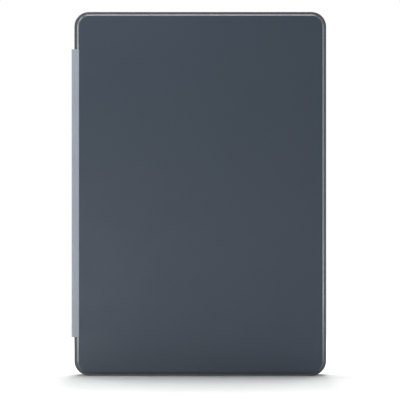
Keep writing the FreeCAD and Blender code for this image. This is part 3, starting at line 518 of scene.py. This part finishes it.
def legendMesh(words):
    if words in arrowTurns:
        return arrowMesh(arrowTurns[words])
    letters = bpy.data.curves.new("legend", "FONT")
    letters.body = words
    letters.size = keyCaps["letter"] if len(words) == 1 else keyCaps["word"]
    letters.align_x, letters.align_y = "CENTER", "CENTER"
    letters.extrude = keyCaps["ink"]
    letters.resolution_u = keyCaps["letterSteps"]
    holder = bpy.data.objects.new("legend", letters)
    mesh = bpy.data.meshes.new_from_object(holder)
    bpy.data.objects.remove(holder)
    bpy.data.curves.remove(letters)
    return mesh


def insetFace(bm, face, thickness, depth=0.0):
    bmesh.ops.inset_region(bm, faces=[face], thickness=thickness, depth=depth, use_even_offset=True)


def addCap(bm, low, high, legend):
    cap = slabBetween(low, high)
    roundOff(cap, edgesAlong(cap, yAxis), keyCaps["corner"], keyCaps["cornerSteps"])
    roundOff(cap, edgesAt(cap, yAxis, high.y), keyCaps["edge"], keyCaps["edgeSteps"])
    top = max(cap.faces, key=lambda f: f.calc_center_median().y)
    insetFace(cap, top, keyCaps["rim"], -keyCaps["dish"])
    under = min(cap.faces, key=lambda f: f.calc_center_median().y)
    insetFace(cap, under, keyCaps["wall"])
    insetFace(cap, under, keyCaps["draft"], -keyCaps["hollow"])
    mesh = bareMesh("cap", cap)
    bm.from_mesh(mesh)
    bpy.data.meshes.remove(mesh)
    if legend == "plain":
        return
    mesh = legendMesh(legend)
    middle = (low + high) / 2
    mesh.transform(Matrix.Translation((middle.x, high.y - keyCaps["dish"], middle.z)) @ typingTurn)
    first = len(bm.faces)
    bm.from_mesh(mesh)
    bpy.data.meshes.remove(mesh)
    bm.faces.ensure_lookup_table()
    for face in bm.faces[first:]:
        face.material_index = 1  # the ink


# rubber domes on one sheet, as tall as the gap up to the key above them
# a profile point is a radius and a share of the height
domes = {
    "sheet": 0.0003, "sheetCorner": 0.002, "sheetSteps": 5, "steps": 16, "travel": 0.001, "spare": 0.00005,
    "profile": ((0.003, 0.0), (0.0029, 0.1), (0.0021, 0.55), (0.0018, 0.68), (0.0018, 0.94), (0.0016, 1.0)),
}
sheetLow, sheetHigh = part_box("dome_sheet")
sheetTop = sheetLow.y + domes["sheet"]
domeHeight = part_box("space_bar")[0].y + keyCaps["hollow"] - sheetTop


def domeMesh():
    bm = bmesh.new()
    profile = [bm.verts.new((radius, share * domeHeight, 0)) for radius, share in domes["profile"]]
    lines = [bm.edges.new(pair) for pair in zip(profile, profile[1:])]
    bmesh.ops.spin(
        bm, geom=profile + lines, cent=(0, 0, 0), axis=(0, 1, 0), dvec=(0, 0, 0),
        angle=radians(360), steps=domes["steps"], use_merge=True, use_duplicate=False,
    )
    bmesh.ops.holes_fill(bm, edges=bm.edges, sides=0)
    return bareMesh("dome", bm)


bm = slabBetween(sheetLow, (sheetHigh.x, sheetTop, sheetHigh.z))
roundOff(bm, edgesAlong(bm, yAxis), domes["sheetCorner"], domes["sheetSteps"])
addPiece("domeSheet", bm, [finishes["dome"]], "dome_sheet", "cover")
oneDome = domeMesh()
for rowName, words in keyLegends.items():
    words = words.split()
    low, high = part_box(rowName)
    step = (high.z - low.z + keyCaps["gap"]) / len(words)
    capsBm, domesBm = bmesh.new(), bmesh.new()
    for index, legend in enumerate(words):
        top = high.z - index * step
        capLow = Vector((low.x, low.y, top - step + keyCaps["gap"]))
        capHigh = Vector((high.x, high.y, top))
        addCap(capsBm, capLow, capHigh, legend)
        first = len(domesBm.verts)
        domesBm.from_mesh(oneDome)
        domesBm.verts.ensure_lookup_table()
        middle = (capLow + capHigh) / 2
        bmesh.ops.translate(domesBm, vec=(middle.x, sheetTop, middle.z), verts=domesBm.verts[first:])
    base = "".join(part.capitalize() if index else part for index, part in enumerate(rowName.split("_")))
    addPiece(base + "Caps", capsBm, [finishes["keycap"], legendInk], rowName, rowName)
    pressed = addPiece(base + "Domes", domesBm, [finishes["dome"]], "dome_sheet", "cover")
    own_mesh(pressed)
bpy.data.meshes.remove(oneDome)
print("key caps and domes made:", len(keyLegends), "rows and keys")


# click pad with a bright cut round its face
touchpad = {
    "corner": 0.004, "cornerSteps": 8, "cut": 0.0003, "cutSteps": 1, "soft": 0.00006, "softSteps": 2,
}
low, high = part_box("touchpad_plate")
bm = slabBetween(low, high)
roundOff(bm, edgesAlong(bm, yAxis), touchpad["corner"], touchpad["cornerSteps"])
roundOff(bm, edgesAt(bm, yAxis, high.y), touchpad["cut"], touchpad["cutSteps"])
roundOff(bm, edgesAt(bm, yAxis, high.y), touchpad["soft"], touchpad["softSteps"])
addPiece("touchpadPlate", bm, [finishes["touchpad"]], "touchpad_plate", "touchpad")

# its spring sheet along the keyboard side, cut across in steps near that side where it would bend
spring = {"corner": 0.002, "cornerSteps": 5, "bend": 0.0021, "bendSteps": 6}
low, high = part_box("touchpad_spring")
bm = slabBetween(low, high)
roundOff(bm, edgesAlong(bm, yAxis), spring["corner"], spring["cornerSteps"])
for index in range(1, spring["bendSteps"] + 1):
    bmesh.ops.bisect_plane(
        bm, geom=bm.verts[:] + bm.edges[:] + bm.faces[:],
        plane_co=(low.x + spring["bend"] * index / spring["bendSteps"], 0, 0), plane_no=(1, 0, 0),
    )
springSheet = addPiece("springSheet", bm, [finishes["spring_sheet"]], "touchpad_spring")
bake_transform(springSheet)
print("touchpad made")


# charging port: bright shell, dark tongue and throat
port = {"lip": 0.0002, "endFace": 1e-5}
low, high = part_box("charging_socket")
bm = copyOfNode("charging_socket")
for face in bm.faces:
    middle = face.calc_center_median()
    inside = all(low[axis] + port["lip"] < middle[axis] < high[axis] - port["lip"] for axis in (xAxis, yAxis))
    face.material_index = int(inside and low.z + port["endFace"] < middle.z < high.z - port["endFace"])
addPiece("chargingPort", bm, [finishes["socket"], finishes["switch"]], "charging_socket", "cover")
print("charging port made")


# microfibre lining, its border pressed down
lining = {"border": 0.0025, "press": 0.00015, "sideFacing": 0.5}
low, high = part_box("back_lining")
bm = copyOfNode("back_lining")
front = [f for f in bm.faces if f.normal.y < -alongAxis]
flatArea = sum(f.calc_area() for f in front)
bmesh.ops.inset_region(bm, faces=front, thickness=lining["border"], depth=0.0, use_even_offset=True)
frontCorners = {v for e in edgesAt(bm, yAxis, low.y) for v in e.verts}
border = [v for v in frontCorners if any(abs(f.normal.y) < lining["sideFacing"] for f in v.link_faces)]
bmesh.ops.translate(bm, vec=(0, lining["press"], 0), verts=border)
liningSheet = addPiece("liningSheet", bm, [finishes["lining"]], "back_lining", "shell")
print("lining made, flat area", round(flatArea, 5))


# camera square on to the cover, as in the photograph
view = {"frameWidth": 0.29353, "centreX": -0.0002, "centreZ": 0.129, "distance": 1.6, "sensor": 36.0}
cameraData = bpy.data.cameras.new("frontCamera")
cameraData.sensor_width = view["sensor"]
cameraData.lens = view["sensor"] * view["distance"] / view["frameWidth"]
camera = bpy.data.objects.new("frontCamera", cameraData)
camera.location = (view["centreX"], panelLow.y - view["distance"], view["centreZ"])
camera.rotation_euler = (radians(90), 0, 0)
scene.collection.objects.link(camera)
scene.camera = camera

# soft boxes: place, aim, width, height and power
softBoxes = {
    "topBox": ((0.0, 0.21, 1.25), (0.0, 0.21, 0.0), 0.9, 0.3, 9.2),
    "midTopBox": ((0.0, 0.5, 1.25), (0.0, 0.5, 0.0), 0.9, 0.2, 6.2),
    "rearTopBox": ((0.0, 2.35, 4.0), (0.0, 2.35, 0.0), 0.4, 1.75, 46.0),
    "leftEdgeBox": ((-1.0, 0.06, 0.31), (0.0, 0.06, 0.31), 0.16, 0.18, 1.05),
    "leftTallBox": ((-1.0, 0.06, 0.5), (0.0, 0.06, 0.5), 0.16, 0.2, 0.85),
    "leftFootBox": ((-0.7, 0.05, 0.03), (0.0, 0.05, 0.03), 0.14, 0.055, 0.9),
    "shoulderBox": ((-0.8, 0.08, 0.85), (-0.05, 0.03, 0.2), 0.16, 0.5, 1.9),
    "rightShoulderBox": ((0.8, 0.08, 0.85), (0.05, 0.03, 0.2), 0.16, 0.5, 0.6),
    "rightEdgeBox": ((1.0, 0.06, 0.17), (0.0, 0.06, 0.17), 0.16, 0.34, 0.97),
    "rightTallBox": ((1.0, 0.06, 0.45), (0.0, 0.06, 0.45), 0.16, 0.2, 0.53),
    "rightFootBox": ((0.7, 0.05, 0.03), (0.0, 0.05, 0.03), 0.14, 0.055, 0.25),
    "leftFillBox": ((-0.32, -0.5, 0.035), (-0.02, 0.0, 0.05), 0.6, 0.06, 1.05),
    "lowFrontBox": ((-0.05, -0.6, 0.03), (0.0, 0.0, 0.03), 0.9, 0.04, 0.37),
    "browFillBox": ((-0.1, -0.12, 0.37), (-0.06, 0.0, 0.26), 0.2, 0.04, 0.13),
    "backBox": ((0.2, 1.3, 0.5), (0.0, 0.0, 0.13), 0.9, 0.7, 7.0),
}
for boxName, (place, aim, width, height, power) in softBoxes.items():
    light = bpy.data.lights.new(boxName, "AREA")
    light.shape = "RECTANGLE"
    light.size, light.size_y = width, height
    light.energy = power
    lamp = bpy.data.objects.new(boxName, light)
    lamp.location = place
    lamp.rotation_euler = (Vector(aim) - Vector(place)).to_track_quat("-Z", "Y").to_euler()
    scene.collection.objects.link(lamp)

# the world is white to the camera and in reflections, and dim as a light
backdrop = {
    "ambient": 0.15, "floorWhite": 0.9, "fadeFrom": 0.22, "fadeTo": 0.55, "radius": 2.5, "segments": 96,
    "drop": 0.00005,
}
world = bpy.data.worlds.new("studio")
scene.world = world
world.use_nodes = True
tree = world.node_tree
tree.nodes.clear()
rays = addNode(tree, "LightPath").outputs
seen = mathOf(tree, "MAXIMUM", rays["Is Camera Ray"], rays["Is Glossy Ray"])
seen = mathOf(tree, "MAXIMUM", seen, rays["Is Transmission Ray"])
dim = addNode(tree, "Background", {"Color": (1, 1, 1, 1), "Strength": backdrop["ambient"]}).outputs[0]
white = addNode(tree, "Background", {"Color": (1, 1, 1, 1), "Strength": 1.0}).outputs[0]
both = addNode(tree, "MixShader", {0: seen, 1: dim, 2: white}).outputs[0]
addNode(tree, "OutputWorld", {"Surface": both})

# the floor takes the shadow near the case and fades to plain white away from it
bm = bmesh.new()
bmesh.ops.create_circle(bm, cap_ends=True, segments=backdrop["segments"], radius=backdrop["radius"])
bmesh.ops.translate(bm, vec=(0, 0, -backdrop["drop"]), verts=bm.verts)
floorPaint = bpy.data.materials.new("floorPaint")
floorPaint.use_nodes = True
tree = floorPaint.node_tree
tree.nodes.clear()
point = addNode(tree, "TexCoord").outputs["Object"]
reach = addNode(tree, "VectorMath", {0: point}, operation="LENGTH").outputs["Value"]
fade = {"Value": reach, "From Min": backdrop["fadeFrom"], "From Max": backdrop["fadeTo"]}
away = addNode(tree, "MapRange", fade, interpolation_type="SMOOTHSTEP").outputs["Result"]
near = addNode(tree, "BsdfDiffuse", {"Color": paint((1, 1, 1), backdrop["floorWhite"])}).outputs[0]
plain = addNode(tree, "Emission", {"Strength": 1.0}).outputs[0]
shown = addNode(tree, "MixShader", {0: away, 1: near, 2: plain}).outputs[0]
addNode(tree, "OutputMaterial", {"Surface": shown})
floor = bpy.data.objects.new("floor", toMesh("floor", bm, [floorPaint]))
scene.collection.objects.link(floor)
scene.view_settings.view_transform = "Standard"
print("studio made")
